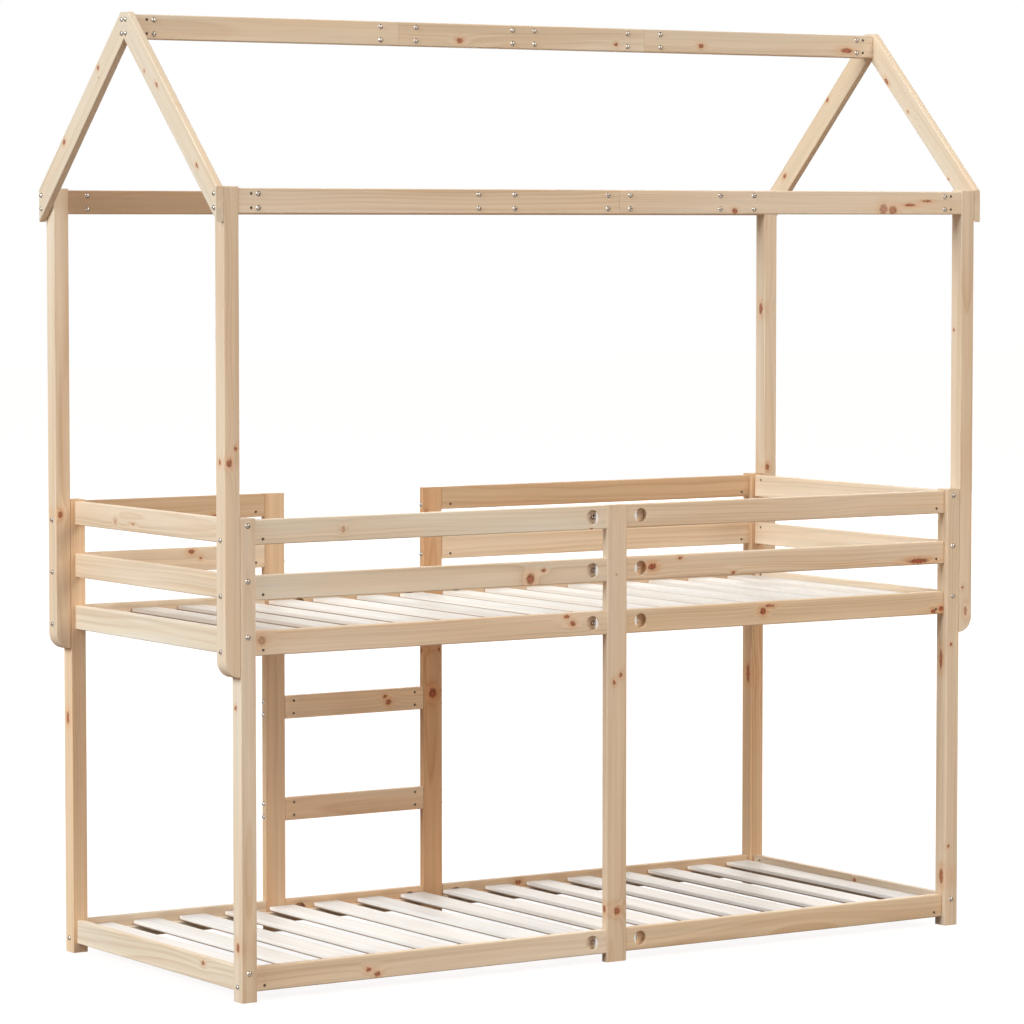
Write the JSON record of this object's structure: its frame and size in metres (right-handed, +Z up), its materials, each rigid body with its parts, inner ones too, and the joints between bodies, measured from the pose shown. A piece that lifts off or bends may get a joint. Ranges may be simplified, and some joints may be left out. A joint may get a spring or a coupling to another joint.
{
  "type": "house-frame bunk bed with ladder",
  "caption": "Pine bunk bed with a house-shaped roof frame, slatted bunks, guard rails and a ladder built into the rear side frame, bolted from posts and boards.",
  "frame": {"origin": "centre of the base of the bounding box, on the floor", "axes": "+X along the bed to the right of someone facing its front, +Y from the front to the ladder side, +Z up"},
  "size_m": [2.1918, 0.8738, 2.2495],
  "materials": {
    "pine": "sanded bare softwood",
    "slat_pine": "planed pale softwood",
    "nickel_steel": "bright nickel plate"
  },
  "bodies": {
    "root": {"barrel_nuts": "nickel_steel", "connector_bolts": "nickel_steel", "corner_post_front_left": "pine", "corner_post_front_right": "pine", "corner_post_rear_left": "pine", "corner_post_rear_right": "pine", "front_eave_inner_boards": "pine", "front_eave_outer_boards": "pine", "front_lower_bed_rail_left": "pine", "front_lower_bed_rail_right": "pine", "front_middle_guard_left": "pine", "front_middle_guard_right": "pine", "front_top_guard_left": "pine", "front_top_guard_right": "pine", "front_upper_bed_rail_left": "pine", "front_upper_bed_rail_right": "pine", "half_moon_washers": "nickel_steel", "joint_nuts": "nickel_steel", "joint_studs": "nickel_steel", "ladder_post_left": "pine", "ladder_post_right": "pine", "ladder_rung_lower": "pine", "ladder_rung_upper": "pine", "left_end_lower_bed_rail": "pine", "left_end_middle_guard": "pine", "left_end_top_guard": "pine", "left_end_upper_bed_rail": "pine", "lower_ledges": "pine", "lower_slats": "slat_pine", "middle_post_front": "pine", "rafter_left_front": "pine", "rafter_left_rear": "pine", "rafter_right_front": "pine", "rafter_right_rear": "pine", "rear_eave_inner_boards": "pine", "rear_eave_outer_boards": "pine", "rear_lower_bed_rail_left": "pine", "rear_lower_bed_rail_middle": "pine", "rear_lower_bed_rail_right": "pine", "rear_middle_guard_left": "pine", "rear_middle_guard_right": "pine", "rear_top_guard_left": "pine", "rear_top_guard_right": "pine", "rear_upper_bed_rail_left": "pine", "rear_upper_bed_rail_middle": "pine", "rear_upper_bed_rail_right": "pine", "ridge_front_boards": "pine", "ridge_rear_boards": "pine", "right_end_lower_bed_rail": "pine", "right_end_middle_guard": "pine", "right_end_top_guard": "pine", "right_end_upper_bed_rail": "pine", "roof_beam_bolts": "nickel_steel", "roof_post_front_left": "pine", "roof_post_front_right": "pine", "roof_post_rear_left": "pine", "roof_post_rear_right": "pine", "upper_ledges": "pine", "upper_slats": "slat_pine", "wood_screws": "nickel_steel"}
  },
  "joints": []
}
